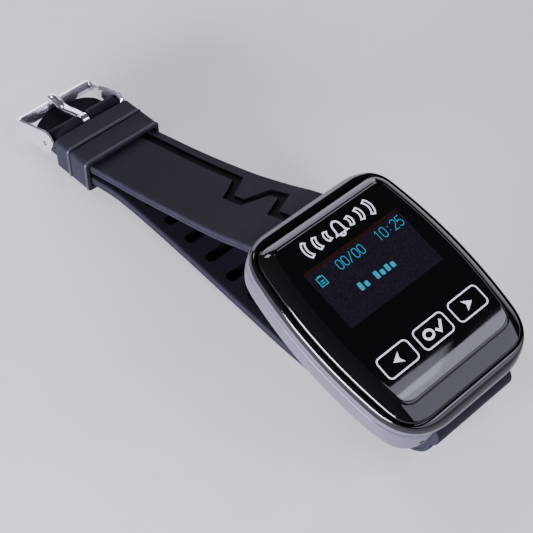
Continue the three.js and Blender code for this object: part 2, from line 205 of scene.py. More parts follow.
def turned_mesh(stations, y, z, steps=32):
    """A turned shape along X from (x, radius) stations."""
    angles = [math.tau * i / steps for i in range(steps)]
    return loft([[(x, y + r * math.cos(a), z + r * math.sin(a)) for a in angles] for x, r in stations])


def rod_mesh(radius, half, y, z, steps=32, edge=0.0):
    """A rod along X, with its ends rounded off by `edge`."""
    end = [(half - edge * (1 - math.sin(a)), radius - edge * (1 - math.cos(a)))
           for a in (math.pi / 2 * i / 5 for i in range(6))] if edge else [(half, radius)]
    return turned_mesh([(-x, r) for x, r in reversed(end)] + end, y, z, steps)


def post_mesh(radius, low, high, x, y, steps=32):
    rings = [[(x + radius * math.cos(a), y + radius * math.sin(a), z)
              for a in (math.tau * i / steps for i in range(steps))] for z in (low, high)]
    return loft(rings)


def cutter(shape, matrix, finish=None):
    return make_object("cutter", *shape, matrix, finish, body=None)


def carve(piece, added=(), removed=(), smooth=35):
    """Joins and cuts the piece's mesh with scratch objects, which are then deleted."""
    tools = [(tool, "UNION") for tool in added] + [(tool, "DIFFERENCE") for tool in removed]
    for tool, operation in tools:
        modifier = piece.modifiers.new("carve", "BOOLEAN")
        modifier.object = tool
        modifier.operation = operation
        modifier.solver = "EXACT"
        modifier.material_mode = "TRANSFER" if tool.data.materials else "INDEX"
    graph = bpy.context.evaluated_depsgraph_get()
    mesh = bpy.data.meshes.new_from_object(piece.evaluated_get(graph))
    piece.modifiers.clear()
    piece.data = mesh
    for tool, _ in tools:
        bpy.data.objects.remove(tool)
    tidy_normals(mesh, smooth)
    return piece


def round_edges(piece, width, segments=3, angle=32):
    modifier = piece.modifiers.new("edges", "BEVEL")
    modifier.width = width * MM
    modifier.segments = segments
    modifier.limit_method = "ANGLE"
    modifier.angle_limit = math.radians(angle)
    modifier.harden_normals = True
    return piece


CURVE_STEPS = 24


def curve_value(a, b, c, d, t):
    """The value at `t`, from 0 at b to 1 at c, of the Catmull-Rom curve through four values in a row."""
    square = 2 * a - 5 * b + 4 * c - d
    cube = 3 * b - a - 3 * c + d
    return 0.5 * (2 * b + (c - a) * t + square * t * t + cube * t ** 3)


def catmull_rom(points, steps):
    """Evenly spaced points on a smooth curve through the given ones, which are tuples of any length."""
    ends = [
        tuple(2 * a - b for a, b in zip(points[0], points[1])),
        tuple(2 * a - b for a, b in zip(points[-1], points[-2])),
    ]
    knots = [ends[0], *points, ends[1]]
    dense = []
    for p0, p1, p2, p3 in zip(knots, knots[1:], knots[2:], knots[3:]):
        for t in (i / CURVE_STEPS for i in range(CURVE_STEPS)):
            dense.append(tuple(curve_value(*values, t) for values in zip(p0, p1, p2, p3)))
    dense.append(tuple(points[-1]))
    lengths = [0.0]
    for p, q in zip(dense, dense[1:]):
        lengths.append(lengths[-1] + math.dist(p, q))
    result, index = [], 0
    for i in range(steps + 1):
        goal = lengths[-1] * i / steps
        while index < len(dense) - 2 and lengths[index + 1] < goal:
            index += 1
        span = lengths[index + 1] - lengths[index]
        t = (goal - lengths[index]) / span if span else 0
        result.append(tuple(a + (b - a) * t for a, b in zip(dense[index], dense[index + 1])))
    return result


# ---------------------------------------------------------------- case outline
def case_half_width(y):
    return HALF_WIDTH - BARREL * (y - WIDEST_Y) ** 2


def corner_points(inset, side_y, end_y):
    """From the straight end edge round to the side, leaving the side along its tangent."""
    side_x = case_half_width(side_y) - inset
    control_x = side_x - 2 * BARREL * (side_y - WIDEST_Y) * (end_y - side_y)
    flat_x = control_x - abs(end_y - side_y)
    points = []
    for i in range(CORNER_STEPS + 1):
        t = i / CORNER_STEPS
        u = 1 - t
        points.append((u * u * flat_x + 2 * u * t * control_x + t * t * side_x,
                       u * u * end_y + 2 * u * t * end_y + t * t * side_y))
    return points


def outline(plan):
    upper_y = plan["top"] - plan["top_corner"]
    lower_y = plan["bottom"] + plan["bottom_corner"]
    half = corner_points(plan["inset"], upper_y, plan["top"])
    for i in range(1, SIDE_STEPS):
        y = upper_y + (lower_y - upper_y) * i / SIDE_STEPS
        half.append((case_half_width(y) - plan["inset"], y))
    half += corner_points(plan["inset"], lower_y, plan["bottom"])[::-1]
    left = [(-x, y) for x, y in reversed(half)]
    top_x = half[0][0]
    bottom_x = half[-1][0]
    steps = [i / END_STEPS * 2 - 1 for i in range(1, END_STEPS)]
    bottom_edge = [(-bottom_x * s, plan["bottom"]) for s in steps]
    top_edge = [(top_x * s, plan["top"]) for s in steps]
    return half + bottom_edge + left + top_edge


def shifted(plan, margin):
    return {
        **plan,
        "inset": plan["inset"] + margin,
        "top": plan["top"] - margin,
        "bottom": plan["bottom"] + margin,
    }


def mixed(inner, outer, share):
    return {key: inner[key] + (outer[key] - inner[key]) * share for key in inner}


def ring(plan, z, margin=0.0):
    return [(x, y, z) for x, y in outline(shifted(plan, margin))]


# ---------------------------------------------------------------- case shells
# The bezel's roll goes down to ROLL_BASE, and below GLOSS_BASE the ring is satin.
ROLL_BASE = -4.75
GLOSS_BASE = -3.7


def bezel(finish, foot_finish):
    """Ring with a glossy convex roll from seam to rim, a satin foot and the ledge under the lens."""
    steps = 10
    roll = []
    for i in range(steps + 1):
        angle = math.pi / 2 * i / steps
        plan = mixed(shifted(SEAM, -0.12), RIM, math.sin(angle) ** 0.9)
        roll.append(ring(plan, ROLL_BASE + (SEAM_Z + 0.02 - ROLL_BASE) * math.cos(angle) ** 1.1))
    rings = [
        ring(SEAM, SEAM_Z - 0.12),
        *roll,
        ring(RIM, -4.9, 0.05),
        ring(RIM, BEZEL_BASE, 0.22),
        ring(SEAM, BEZEL_BASE, 1.2),
        ring(SEAM, LEDGE_Z, 1.2),
        ring(SEAM, LEDGE_Z),
    ]
    piece = make_object("bezel_ring", *loft(rings, closed=True), CASE, finish, slot="gloss_black",
                        replaces=["bezel"])
    piece.data.materials.append(foot_finish)
    to_case = CASE.inverted()
    for polygon in piece.data.polygons:
        if (to_case @ polygon.center).z < GLOSS_BASE:
            polygon.material_index = 1
    return piece


# The lens bends from LENS_BEND_Y on, inside the row of keys; LENS_BEND is its drop at 1 mm beyond.
LENS_BEND_Y = -14.8
LENS_BEND = 0.009
SLOPE_STEPS = 16
FACE_STEPS = 20


def face_height(y):
    """The lens is flat as far as the keys' upper half and then bends gently away towards the wearer."""
    return -LENS_BEND * max(0.0, LENS_BEND_Y - y) ** 2


def lens_slope_ring(share):
    """A ring on the sloping border of the lens, from 0 at the face to 1 at the seam."""
    plan = mixed(FACE, shifted(SEAM, GAP), share)
    drop = 0.2 + 0.95 * share + 0.85 * share * share
    return [(x, y, (1 - share) * face_height(y) - drop) for x, y in outline(plan)]


def lens(finish):
    """The one-piece glossy cover: a skirt, a convex border, a crisp face edge and the face itself."""
    skirt = [
        ring(SEAM, LEDGE_Z + GAP, GAP),
        ring(SEAM, SEAM_Z + 0.08, GAP),
        ring(SEAM, SEAM_Z + 0.22, GAP + 0.06),
    ]
    slope = [lens_slope_ring(1 - i / SLOPE_STEPS) for i in range(1, SLOPE_STEPS + 1)]
    edge = []
    for margin, drop in ((0.1, 0.1), (0.25, 0.035), (0.45, 0.005)):
        edge.append([(x, y, face_height(y) - drop) for x, y in outline(shifted(FACE, margin))])
    centre_y = (FACE["top"] + FACE["bottom"]) / 2
    rim = outline(shifted(FACE, 0.7))
    face = []
    for i in range(FACE_STEPS):
        scale = 1 - i / FACE_STEPS
        face.append([(x * scale, centre_y + (y - centre_y) * scale) for x, y in rim])
    face = [[(x, y, face_height(y)) for x, y in loop] for loop in face]
    rings = skirt + slope + edge + face
    piece = make_object("lens_shell", *loft(rings), CASE, finish, slot="gloss_black",
                        replaces=["lens_cover"], smooth=50)
    exact_face_normals(piece, len(rings[0]) * len(skirt + slope + edge))
    return piece


def exact_face_normals(piece, first):
    """Sets the face's own normals from its formula, from point number `first` on, for clean reflections."""
    to_case = CASE.inverted()
    turn = CASE.to_3x3()
    normals = []
    for index, vertex in enumerate(piece.data.vertices):
        if index < first:
            normals.append((0, 0, 0))
            continue
        rise = 2 * LENS_BEND * max(0.0, LENS_BEND_Y - (to_case @ vertex.co).y)
        normals.append((turn @ Vector((0, -rise, 1))).normalized())
    piece.data.normals_split_custom_set_from_vertices(normals)


def strap_notches():
    upper = box_mesh((-NOTCH_HALF, UPPER_BAR["y"] - UPPER_BAR["barrel"] - GAP, -14),
                     (NOTCH_HALF, 22, UPPER_BAR["z"] + UPPER_BAR["barrel"] + 2 * GAP))
    lower = box_mesh((-NOTCH_HALF, -36, -14),
                     (NOTCH_HALF, LOWER_BAR["y"] + LOWER_BAR["barrel"] + GAP,
                      LOWER_BAR["z"] + LOWER_BAR["barrel"] + GAP))
    return [upper, lower]


def mid_case(finish):
    """Satin side wall, nearly upright and then drawn in towards the back."""
    levels = [
        (BODY_TOP, 0.32, 0),
        (BODY_TOP - 0.12, 0.14, 0),
        (BODY_TOP - 0.35, 0.05, 0),
        (-6.6, 0.05, 0.06),
        (-7.8, 0.05, 0.2),
        (-8.8, 0.05, 0.38),
        (-9.6, 0.05, 0.56),
        (-10.3, 0.05, 0.76),
        (-10.75, 0.07, 0.92),
        (BODY_BASE, 0.15, 1),
    ]
    shell = loft([ring(mixed(RIM, BODY_FOOT, share), z, margin) for z, margin, share in levels])
    piece = make_object("case_body", *shell, CASE, finish, slot="case_plastic", replaces=["mid_case"])
    cavity = loft([ring(CAVITY, BODY_TOP + 1), ring(CAVITY, BODY_BASE - 1)])
    bars = [rod_mesh(BAR_HOLE, 12.7, bar["y"], bar["z"]) for bar in (UPPER_BAR, LOWER_BAR)]
    screws = [post_mesh(0.9, BODY_BASE - 1, -8, x, y) for x, y in SCREW_PLACES]
    shapes = [cavity, *strap_notches(), *bars, *screws]
    return carve(piece, removed=[cutter(shape, CASE) for shape in shapes])


def back_cover(finish):
    rings = [
        ring(BACK_PLATE, BACK_TOP),
        ring(BACK_PLATE, BACK_BASE + 0.5),
        ring(BACK_PLATE, BACK_BASE + 0.2, 0.1),
        ring(BACK_PLATE, BACK_BASE + 0.04, 0.32),
        ring(BACK_PLATE, BACK_BASE, 0.6),
    ]
    piece = make_object("back_plate", *loft(rings), CASE, finish, slot="case_plastic",
                        replaces=["back_cover"])
    holes = [post_mesh(1.6, BACK_BASE - 1, BACK_TOP + 1, x, y) for x, y in SCREW_PLACES + CONTACT_PLACES]
    label = loft(rounded_prism(0, 3, 9.5, 7, 1.2, BACK_BASE - 1, BACK_BASE + 0.15))
    shapes = [*strap_notches(), *holes, label]
    return carve(piece, removed=[cutter(shape, CASE) for shape in shapes])


def rounded_outline(centre_x, centre_y, half_x, half_y, radius, steps=8):
    """A rectangle with round corners, as (x, y) points."""
    points = []
    for quarter, (sx, sy) in enumerate([(1, 1), (-1, 1), (-1, -1), (1, -1)]):
        for i in range(steps + 1):
            angle = math.pi / 2 * (quarter + i / steps)
            points.append((centre_x + sx * (half_x - radius) + radius * math.cos(angle),
                           centre_y + sy * (half_y - radius) + radius * math.sin(angle)))
    return points


def rounded_prism(centre_x, centre_y, half_x, half_y, radius, low, high):
    flat = rounded_outline(centre_x, centre_y, half_x, half_y, radius)
    return [[(x, y, z) for x, y in flat] for z in (low, high)]


# ---------------------------------------------------------------- printed marks
def ribbon(path, width, closed=False):
    """A flat band of constant width along a path of (x, y) points, with mitred corners."""
    count = len(path)
    left, right = [], []
    for i, point in enumerate(path):
        before = Vector(path[i - 1]) if closed or i > 0 else None
        after = Vector(path[(i + 1) % count]) if closed or i < count - 1 else None
        here = Vector(point)
        incoming = (here - before).normalized() if before else None
        outgoing = (after - here).normalized() if after else None
        incoming = incoming or outgoing
        outgoing = outgoing or incoming
        normal = Vector((-incoming.y - outgoing.y, incoming.x + outgoing.x)).normalized()
        reach = width / 2 / max(0.5, normal.dot(Vector((-incoming.y, incoming.x))))
        left.append(tuple(here + normal * reach))
        right.append(tuple(here - normal * reach))
    points = left + right
    spans = count if closed else count - 1
    faces = [(i, (i + 1) % count, count + (i + 1) % count, count + i) for i in range(spans)]
    return points, faces


def filled(path):
    return list(path), [tuple(range(len(path)))]


def placed(shape, x, y, scale_x=1.0, scale_y=1.0):
    points, faces = shape
    return [(x + px * scale_x, y + py * scale_y) for px, py in points], faces


def ink(name, shapes, finish, slot=None, lift=INK_LIFT):
    """One thin printed piece from flat shapes, lying just proud of the lens."""
    points, faces = [], []
    for shape_points, shape_faces in shapes:
        base = len(points)
        points += [(x, y, face_height(y) + lift) for x, y in shape_points]
        faces += [tuple(base + i for i in face) for face in shape_faces]
    piece = make_object(name, points, faces, CASE, finish, slot=slot)
    face_up(piece)
    return piece


def face_up(piece):
    """Turns every face of a flat print towards the viewer of the screen."""
    up = (CASE.to_3x3() @ Vector((0, 0, 1))).normalized()
    work = bmesh.new()
    work.from_mesh(piece.data)
    work.normal_update()
    for face in work.faces:
        if face.normal.dot(up) < 0:
            face.normal_flip()
    work.to_mesh(piece.data)
    work.free()


def arc(centre_x, centre_y, radius_x, radius_y, start, end, steps=10):
    """Points on an ellipse between two angles in degrees."""
    angles = [math.radians(start + (end - start) * i / steps) for i in range(steps + 1)]
    return [(centre_x + radius_x * math.cos(a), centre_y + radius_y * math.sin(a)) for a in angles]


# Strokes of the screen's digits in a box 0.56 wide and 1 high.
DIGIT_WIDTH = 0.56
DIGIT_STROKES = {
    "0": [arc(0.28, 0.72, 0.26, 0.28, 0, 180) + arc(0.28, 0.28, 0.26, 0.28, 180, 360) + [(0.54, 0.72)]],
    "1": [[(0.12, 0.82), (0.3, 1), (0.3, 0)]],
    "2": [arc(0.28, 0.73, 0.26, 0.27, 165, -35) + [(0.02, 0), (0.56, 0)]],
    "5": [[(0.52, 1), (0.08, 1), (0.05, 0.55)] + arc(0.27, 0.31, 0.27, 0.31, 110, -150, 14)],
    "/": [[(0.02, -0.05), (0.5, 1.05)]],
    ":": [[(0.28, 0.24), (0.28, 0.36)], [(0.28, 0.64), (0.28, 0.76)]],
}


def digits(text, x, y, height, stroke, spacing):
    """Ribbons for a row of digits whose lower left corner is at (x, y)."""
    shapes = []
    for i, sign in enumerate(text):
        start = x + i * (DIGIT_WIDTH + spacing) * height
        for path in DIGIT_STROKES[sign]:
            shapes.append(ribbon([(start + px * height, y + py * height) for px, py in path], stroke))
    return shapes


def window_point(u, v):
    """A place on the screen, from 0,0 at its top left corner to 1,1 at its bottom right."""
    return WINDOW["half_x"] * (2 * u - 1), WINDOW["half_y"] * (1 - 2 * v)


def screen(glass_finish, edge_finish):
    window = filled(rounded_outline(0, 0, WINDOW["half_x"], WINDOW["half_y"], 0.25, 4))
    ink("screen_window", [window], glass_finish, "display_glass", INK_LIFT / 2)
    strip_low = WINDOW["half_y"] * 0.9
    strip = filled([(-12.2, strip_low), (12.2, strip_low), (12.2, 6.55), (-12.2, 6.55)])
    ink("screen_edge_strip", [strip], edge_finish, "display_glass")


BLOCK_PITCH = 1.38


def screen_marks(finish):
    """Battery, counter, clock and a line of plain blocks where a message would stand."""
    left, top = window_point(0.055, 0.14)
    right, bottom = window_point(0.118, 0.3)
    middle = (left + right) / 2
    body_top = top - 0.3
    body = [(left, bottom), (right, bottom), (right, body_top), (left, body_top)]
    cap = [(middle - 0.4, body_top), (middle + 0.4, body_top), (middle + 0.4, top), (middle - 0.4, top)]
    shapes = [ribbon(body, 0.2, closed=True), filled(cap)]
    for i in range(2):
        y = bottom + 0.5 + 0.48 * i
        shapes.append(ribbon([(left + 0.35, y), (right - 0.35, y)], 0.24))
    shapes += digits("00/00", *window_point(0.27, 0.26), 2.0, 0.17, 0.14)
    shapes += digits("10:25", *window_point(0.69, 0.26), 2.15, 0.17, 0.11)
    _, line_y = window_point(0, 0.61)
    first_x, _ = window_point(0.3, 0)
    for i, half_y in ((0, 0.85), (1, 0.6), (3, 0.85), (4, 0.6), (5, 0.75), (6, 0.6)):
        path = rounded_outline(first_x + i * BLOCK_PITCH, line_y - 0.85 + half_y, 0.47, half_y, 0.25, 4)
        shapes.append(filled(path))
    return ink("screen_marks", shapes, finish, lift=INK_LIFT * 1.5)


def call_pictogram(finish):
    """A ringing bell between sound waves, drawn in outline above the screen."""
    y = 9.9
    lip = [(-1.05, -0.75), (-1.45, -1.15), (1.45, -1.15), (1.05, -0.75)]
    bell = arc(0, 0.4, 0.95, 1.2, 0, 180, 12) + lip
    shapes = [placed(ribbon(bell, 0.4, closed=True), 0, y)]
    shapes.append(placed(ribbon(arc(0, -1.25, 0.55, 0.5, 180, 360), 0.36), 0, y))
    for side in (-1, 1):
        for i in range(3):
            radius = 1.05 + 0.35 * i
            centre = 2.55 + 2.3 * i
            outer = arc(centre, 0, radius, radius * 1.25, -52, 52, 12)
            inner = arc(centre - 0.8, 0, radius, radius * 1.1, 46, -46, 12)
            loop = [(side * px, py) for px, py in outer + inner]
            shapes.append(placed(ribbon(loop, 0.34, closed=True), 0, y - 0.05))
    return ink("call_pictogram", shapes, finish)


def key_prints(finish):
    """Three key outlines with an arrow each way and a ring and tick between them."""
    shapes = []
    for i in (-1, 0, 1):
        path = rounded_outline(i * KEY["pitch"], KEY["y"], KEY["half_x"] - KEY["line"] / 2,
                               KEY["half_y"] - KEY["line"] / 2, KEY["corner"])
        shapes.append(ribbon(path, KEY["line"], closed=True))
        if i:
            head = [(1.15, 0), (-0.95, 1.15), (-0.4, 0), (-0.95, -1.15)]
            arrow = [(i * KEY["pitch"] + i * px, KEY["y"] + py) for px, py in head]
            shapes.append((arrow, [(0, 1, 2), (0, 2, 3)]))
    circle = arc(-1.25, KEY["y"], 1.05, 0.85, 0, 350, 24)
    shapes.append(ribbon(circle, 0.5, closed=True))
    tick = [(0.55, KEY["y"] + 0.05), (1.25, KEY["y"] - 0.8), (2.65, KEY["y"] + 1.0)]
    shapes.append(ribbon(tick, 0.55))
    return ink("key_prints", shapes, finish)


# ---------------------------------------------------------------- straps
def to_strap_frame(bar):
    point = CASE_IN_STRAP @ Vector((0, bar["y"], bar["z"]))
    return point.y, point.z


def strap_section(half, edge, seam):
    """Half-round edged band section as (across, up) points; `seam` cuts a fine line along each side."""
    top = STRAP_THICKNESS / 2
    corner = [(half - edge + edge * math.sin(a), top - edge + edge * math.cos(a))
              for a in (math.pi / 2 * i / 5 for i in range(6))]
    parting = [(half, seam / 2 + 0.12), (half - seam, 0.06), (half - seam, -0.06), (half, -seam / 2 - 0.12)]
    side = corner + parting
    lower = [(x, -z) for x, z in reversed(corner)]
    right = side + lower
    inner = [half - edge - 0.5, half * 0.66, half * 0.33, 0]
    top_run = [(-x, top) for x in inner] + [(x, top) for x in inner[-2::-1]]
    bottom_run = [(-x, -z) for x, z in top_run]
    left = [(-x, -z) for x, z in right]
    return top_run + right + bottom_run + left


def strap_band(stations, steps, edge=0.5, seam=0.12):
    """Rings of a band along stations of (y, z, half-width) of its middle line."""
    line = catmull_rom(stations, steps)
    rings = []
    for i, (y, z, half) in enumerate(line):
        before = line[max(0, i - 1)]
        after = line[min(len(line) - 1, i + 1)]
        along = Vector((0, after[0] - before[0], after[1] - before[1])).normalized()
        normal = Vector((0, -along.z, along.y))
        section = strap_section(half, edge, seam)
        rings.append([tuple(Vector((across, y, z)) + normal * up) for across, up in section])
    return rings


def surface_finder(stations, steps=200):
    """Gives the middle-line height and the upward normal of a strap at a distance y along it."""
    line = catmull_rom(stations, steps)

    def find(y):
        for (y0, z0, _), (y1, z1, _) in zip(line, line[1:]):
            if y0 <= y <= y1:
                t = (y - y0) / (y1 - y0)
                along = Vector((0, y1 - y0, z1 - z0)).normalized()
                return z0 + (z1 - z0) * t, Vector((0, -along.z, along.y))
        raise ValueError(y)

    return find


UPPER_STATIONS = [
    (*to_strap_frame(UPPER_BAR), LUG_HALF),
    (25, 21.05, LUG_HALF),
    (31.2, 18.45, 10.2),
    (37.6, 16.1, 9.9),
    (44.2, 14, 9.6),
    (57.6, 10.2, 9.35),
    (71.6, 6.85, STRAP_HALF),
    (75.4, 5.9, STRAP_HALF),
    (80, 5.4, STRAP_HALF),
    (85.5, 5.4, STRAP_HALF),
    (89.5, 5.8, STRAP_HALF),
]
GROOVE_PATH = [(6.2, 76), (6.2, 43.5), (0.45, 40.2), (0.45, 35.9), (5.9, 33.3), (6.1, 29.6), (0.4, 26.8),
               (0.4, 21)]


def groove_cutter():
    """The zigzag groove: a ribbon split into short steps so that it follows the strap's bend."""
    corners, _ = ribbon(GROOVE_PATH, GROOVE["width"])
    count = len(GROOVE_PATH)
    left, right = corners[:count], corners[count:]
    find = surface_finder(UPPER_STATIONS)
    rings = []
    for i in range(count - 1):
        steps = max(1, round(math.dist(left[i], left[i + 1])))
        for s in range(steps + (i == count - 2)):
            t = s / steps
            edge_points = [Vector(edge[i]).lerp(Vector(edge[i + 1]), t) for edge in (left, right)]
            loop = []
            for point, levels in zip(edge_points, ((-GROOVE["depth"], 1.5), (1.5, -GROOVE["depth"]))):
                height, normal = find(point.y)
                for level in levels:
                    foot = Vector((point.x, point.y, height))
                    loop.append(tuple(foot + normal * (STRAP_THICKNESS / 2 + level)))
            rings.append(loop)
    return loft(rings)


def buckle_strap(finish, shade_finish):
    rings = strap_band(UPPER_STATIONS, 90)
    piece = make_object("buckle_strap_skin", *loft(rings), STRAP, finish, slot="strap_rubber",
                        replaces=["buckle_strap"])
    bar_y, bar_z = to_strap_frame(UPPER_BAR)
    barrels = [rod_mesh(UPPER_BAR["barrel"], LUG_HALF, bar_y, bar_z, 40, 0.3),
               rod_mesh(1.9, STRAP_HALF, BUCKLE_BAR_POINT.y, BUCKLE_BAR_POINT.z, 40, 0.3)]
    bores = [rod_mesh(BAR_HOLE, LUG_HALF + 1, bar_y, bar_z),
             rod_mesh(BAR_HOLE, STRAP_HALF + 1, BUCKLE_BAR_POINT.y, BUCKLE_BAR_POINT.z)]
    half = TONGUE["half"] + GAP
    tongue_slot = box_mesh((-half, BUCKLE_BAR_POINT.y - TONGUE["ring"] - 3 * GAP, 0), (half, 94, 12))
    removed = [cutter(shape, STRAP) for shape in (*bores, tongue_slot)]
    # The groove's faces take the near-black rubber, painted shade for the recess.
    removed.append(cutter(groove_cutter(), STRAP, shade_finish))
    return carve(piece, [cutter(shape, STRAP) for shape in barrels], removed)


def hole_strap_half(y):
    return min(10.5, max(STRAP_HALF, 10.5 - 0.03 * (y - 16)))


def slot_outline(y, half, width):
    radius = width / 2
    right = arc(half - radius, y, radius, radius, -90, 90, 12)
    left = arc(radius - half, y, radius, radius, 90, 270, 12)
    return right + left


def slot_cutter(y, half, middle_z):
    """A slot with drafted walls: full width at the top, narrower and set back through the lower part."""
    wide = slot_outline(y, half, SLOTS["width"])
    narrow = slot_outline(y - SLOTS["lean"], half - SLOTS["draft"], SLOTS["width"] - 2 * SLOTS["draft"])
    levels = [(narrow, -1), (narrow, middle_z - 0.5), (wide, middle_z + 0.6), (wide, 8)]
    return loft([[(px, py, z) for px, py in flat] for flat, z in levels])


def hole_strap(finish, shade_finish):
    stations = [
        (*to_strap_frame(LOWER_BAR), LUG_HALF),
        (-24.4, 6.4, LUG_HALF),
        (-22.2, 3.1, LUG_HALF),
        (-17.5, 1.3, LUG_HALF),
        (-9, STRAP_THICKNESS / 2 + 0.1, 10.5),
        (10.8, STRAP_THICKNESS / 2 + 0.15, 10.5),
        (28.6, 2.4, hole_strap_half(28.6)),
        (45, 3.4, hole_strap_half(45)),
        (60, 4, 9.3),
        (68, 3.75, STRAP_HALF),
        (75, 2.6, STRAP_HALF),
        (84, 2.45, STRAP_HALF),
        (94.5, 2.45, STRAP_HALF),
        (97.4, 2.45, 8),
        (98.9, 2.45, 6),
        (99.7, 2.45, 3),
    ]
    rings = strap_band(stations, 150)
    piece = make_object("hole_strap_skin", *loft(rings), STRAP, finish, slot="strap_rubber",
                        replaces=["hole_strap"])
    bar_y, bar_z = to_strap_frame(LOWER_BAR)
    barrel = rod_mesh(LOWER_BAR["barrel"], LUG_HALF, bar_y, bar_z, 40, 0.3)
    find = surface_finder(stations)
    removed = [cutter(rod_mesh(BAR_HOLE, LUG_HALF + 1, bar_y, bar_z), STRAP)]
    for i in range(SLOTS["count"]):
        y = SLOTS["first_y"] - i * SLOTS["pitch"]
        shape = slot_cutter(y, hole_strap_half(y) - SLOTS["margin"], find(y)[0])
        # The slot walls take the near-black rubber, painted shade for the recess.
        removed.append(cutter(shape, STRAP, shade_finish))
    return carve(piece, [cutter(barrel, STRAP)], removed)


# ---------------------------------------------------------------- keepers
def keeper(name, body, finish, bead_highlight_finish):
    """A loop of rubber band with a polished bead along its near edge, painted lighter as a highlight, swept
    round the strap.
    """
    near, far = KEEPER_SPANS[name]
    half, top, wall, corner = (KEEPER[key] for key in ("half", "top", "wall", "corner"))
    path = rounded_outline(0, top / 2, half, top / 2, corner, 8)
    inner = rounded_outline(0, top / 2, half - wall, top / 2 - wall, corner / 2, 8)
    sink = 0.12
    profile = [(near, 0.75), (near, 0.25), (near + 0.07, 0.08), (near + 0.22, 0), (near + 0.42, 0),
               (near + 0.56, 0.05), (near + 0.66, sink), (far - 0.35, sink), (far - 0.1, sink + 0.1),
               (far, sink + 0.32), (far, 0.75), (far, 1), (near, 1)]
    rings = []
    for (ox, oz), (ix, iz) in zip(path, inner):
        rings.append([(ox + (ix - ox) * depth, y, oz + (iz - oz) * depth) for y, depth in profile])
    shape = loft(rings, closed=True)
    piece = make_object(f"{name}_band", *shape, STRAP, finish, body, "strap_rubber", [name], smooth=60)
    piece.data.materials.append(bead_highlight_finish)
    to_strap = STRAP.inverted()
    # The bead's faces take the lighter rubber, a painted highlight.
    for polygon in piece.data.polygons:
        if near + 0.01 < (to_strap @ polygon.center).y < near + 0.5:
            polygon.material_index = 1
    return piece


# ---------------------------------------------------------------- buckle
# Along a cheek: y, height of its base and height of its top.
CHEEK_STATIONS = [
    (87.2, 5, 6.8),
    (87.8, 4.3, 7.8),
    (88.8, 3.8, 8.5),
    (89.9, 3.6, 8.6),
    (92.4, 3.6, 7.9),
    (96.4, 3.3, 6.7),
    (99.6, 2.85, 5.6),
]
# Across the far bar: x of the inner foot, outer foot, outer crest and inner crest, and `back`.
FAR_BAR_SECTIONS = [
    (CHEEK_INNER - 0.01, CHEEK_BASE_OUTER, CHEEK_TOP_OUTER, CHEEK_TOP_OUTER - 0.5, 0.5),
    (CHEEK_INNER - 0.02, 10.9, 9.8, 9.3, 0),
    (6, 6, 6, 6, 0),
    (2, 2, 2, 2, 0),
]
BUCKLE_PIN_HOLE = 0.6


def buckle_pin(finish):
    """Spring bar of the buckle, with a thin tip in each cheek."""
    stations = [(-10.4, 0.35), (-10.25, 0.45), (-9.4, 0.45), (-9.4, 0.75),
                (9.4, 0.75), (9.4, 0.45), (10.25, 0.45), (10.4, 0.35)]
    shape = turned_mesh(stations, BUCKLE_BAR_POINT.y, BUCKLE_BAR_POINT.z)
    return make_object("buckle_pin", *shape, STRAP, finish, "buckle", "steel", ["buckle_spring_bar"])


def cheek_section(y, base, top):
    shoulder = base + 0.72 * (top - base)
    return [(CHEEK_INNER, y, base), (CHEEK_BASE_OUTER, y, base), (CHEEK_TOP_OUTER + 0.15, y, top - 0.25),
            (CHEEK_TOP_OUTER - 0.25, y, top), (CHEEK_INNER, y, shoulder)]


def far_bar_section(inner, outer, crest_outer, crest_inner, back):
    """A section of the far bar; `back` draws its outside towards the cheek where the two meet."""
    near, far, base, top = (FAR_BAR[key] for key in ("near", "far", "base", "top"))
    shoulder = base + 0.45 * (top - base)
    near_foot = near - 0.02 * back
    return [(inner, near_foot, base), (outer, far - back, base), (crest_outer, far - 0.25 - back, top - 0.2),
            (crest_inner, near + 0.8 - back / 3, top), (inner, near_foot, shoulder)]


def hoop_sections():
    """Sections of the buckle from one cheek's end to the middle of the far bar, each with five points:
    inner foot, outer foot, outer crest, inner crest and the shoulder below it."""
    cheek = [cheek_section(y, base, top) for y, base, top in catmull_rom(CHEEK_STATIONS, 24)]
    return cheek + [far_bar_section(*row) for row in FAR_BAR_SECTIONS]


def buckle_frame(finish):
    half = hoop_sections()
    mirrored = [[(-x, y, z) for x, y, z in section] for section in reversed(half)]
    shape = loft(half + mirrored)
    piece = make_object("buckle_hoop", *shape, STRAP, finish, "buckle", "chrome", ["buckle_frame"])
    rest = box_mesh((-1.5, FAR_BAR["near"] - 0.3, FAR_BAR["top"] - 0.55), (1.5, 103, 8))
    bores = rod_mesh(BUCKLE_PIN_HOLE, CHEEK_BASE_OUTER + 1, BUCKLE_BAR_POINT.y, BUCKLE_BAR_POINT.z)
    carve(piece, removed=[cutter(shape, STRAP) for shape in (rest, bores)])
    return round_edges(piece, 0.3, 4, 26)


def buckle_tongue(finish):
    path = [(BUCKLE_BAR_POINT.y, BUCKLE_BAR_POINT.z + 1.1), (92.5, 6.3), (96.4, 5.1), (99.3, 5.4),
            (101.4, 5.6), (102.7, 4.9)]
    line = catmull_rom(path, 40)
    rings = []
    for i, (y, z) in enumerate(line):
        before, after = line[max(0, i - 1)], line[min(len(line) - 1, i + 1)]
        along = Vector((0, after[0] - before[0], after[1] - before[1])).normalized()
        normal = Vector((0, -along.z, along.y))
        loop = []
        for a in (math.tau * k / 20 for k in range(20)):
            across = TONGUE["half"] * math.cos(a)
            up = TONGUE["thickness"] / 2 * math.sin(a)
            loop.append(tuple(Vector((across, y, z)) + normal * up))
        rings.append(loop)
    piece = make_object("tongue_bar", *loft(rings), STRAP, finish, "tongue", "chrome", ["buckle_tongue"])
    centre = (BUCKLE_BAR_POINT.y, BUCKLE_BAR_POINT.z)
    eye = cutter(rod_mesh(TONGUE["ring"], TONGUE["half"], *centre, 40, 0.35), STRAP)
    bore = cutter(rod_mesh(BAR_HOLE, TONGUE["half"] + 1, *centre), STRAP)
    return carve(piece, [eye], [bore], smooth=50)


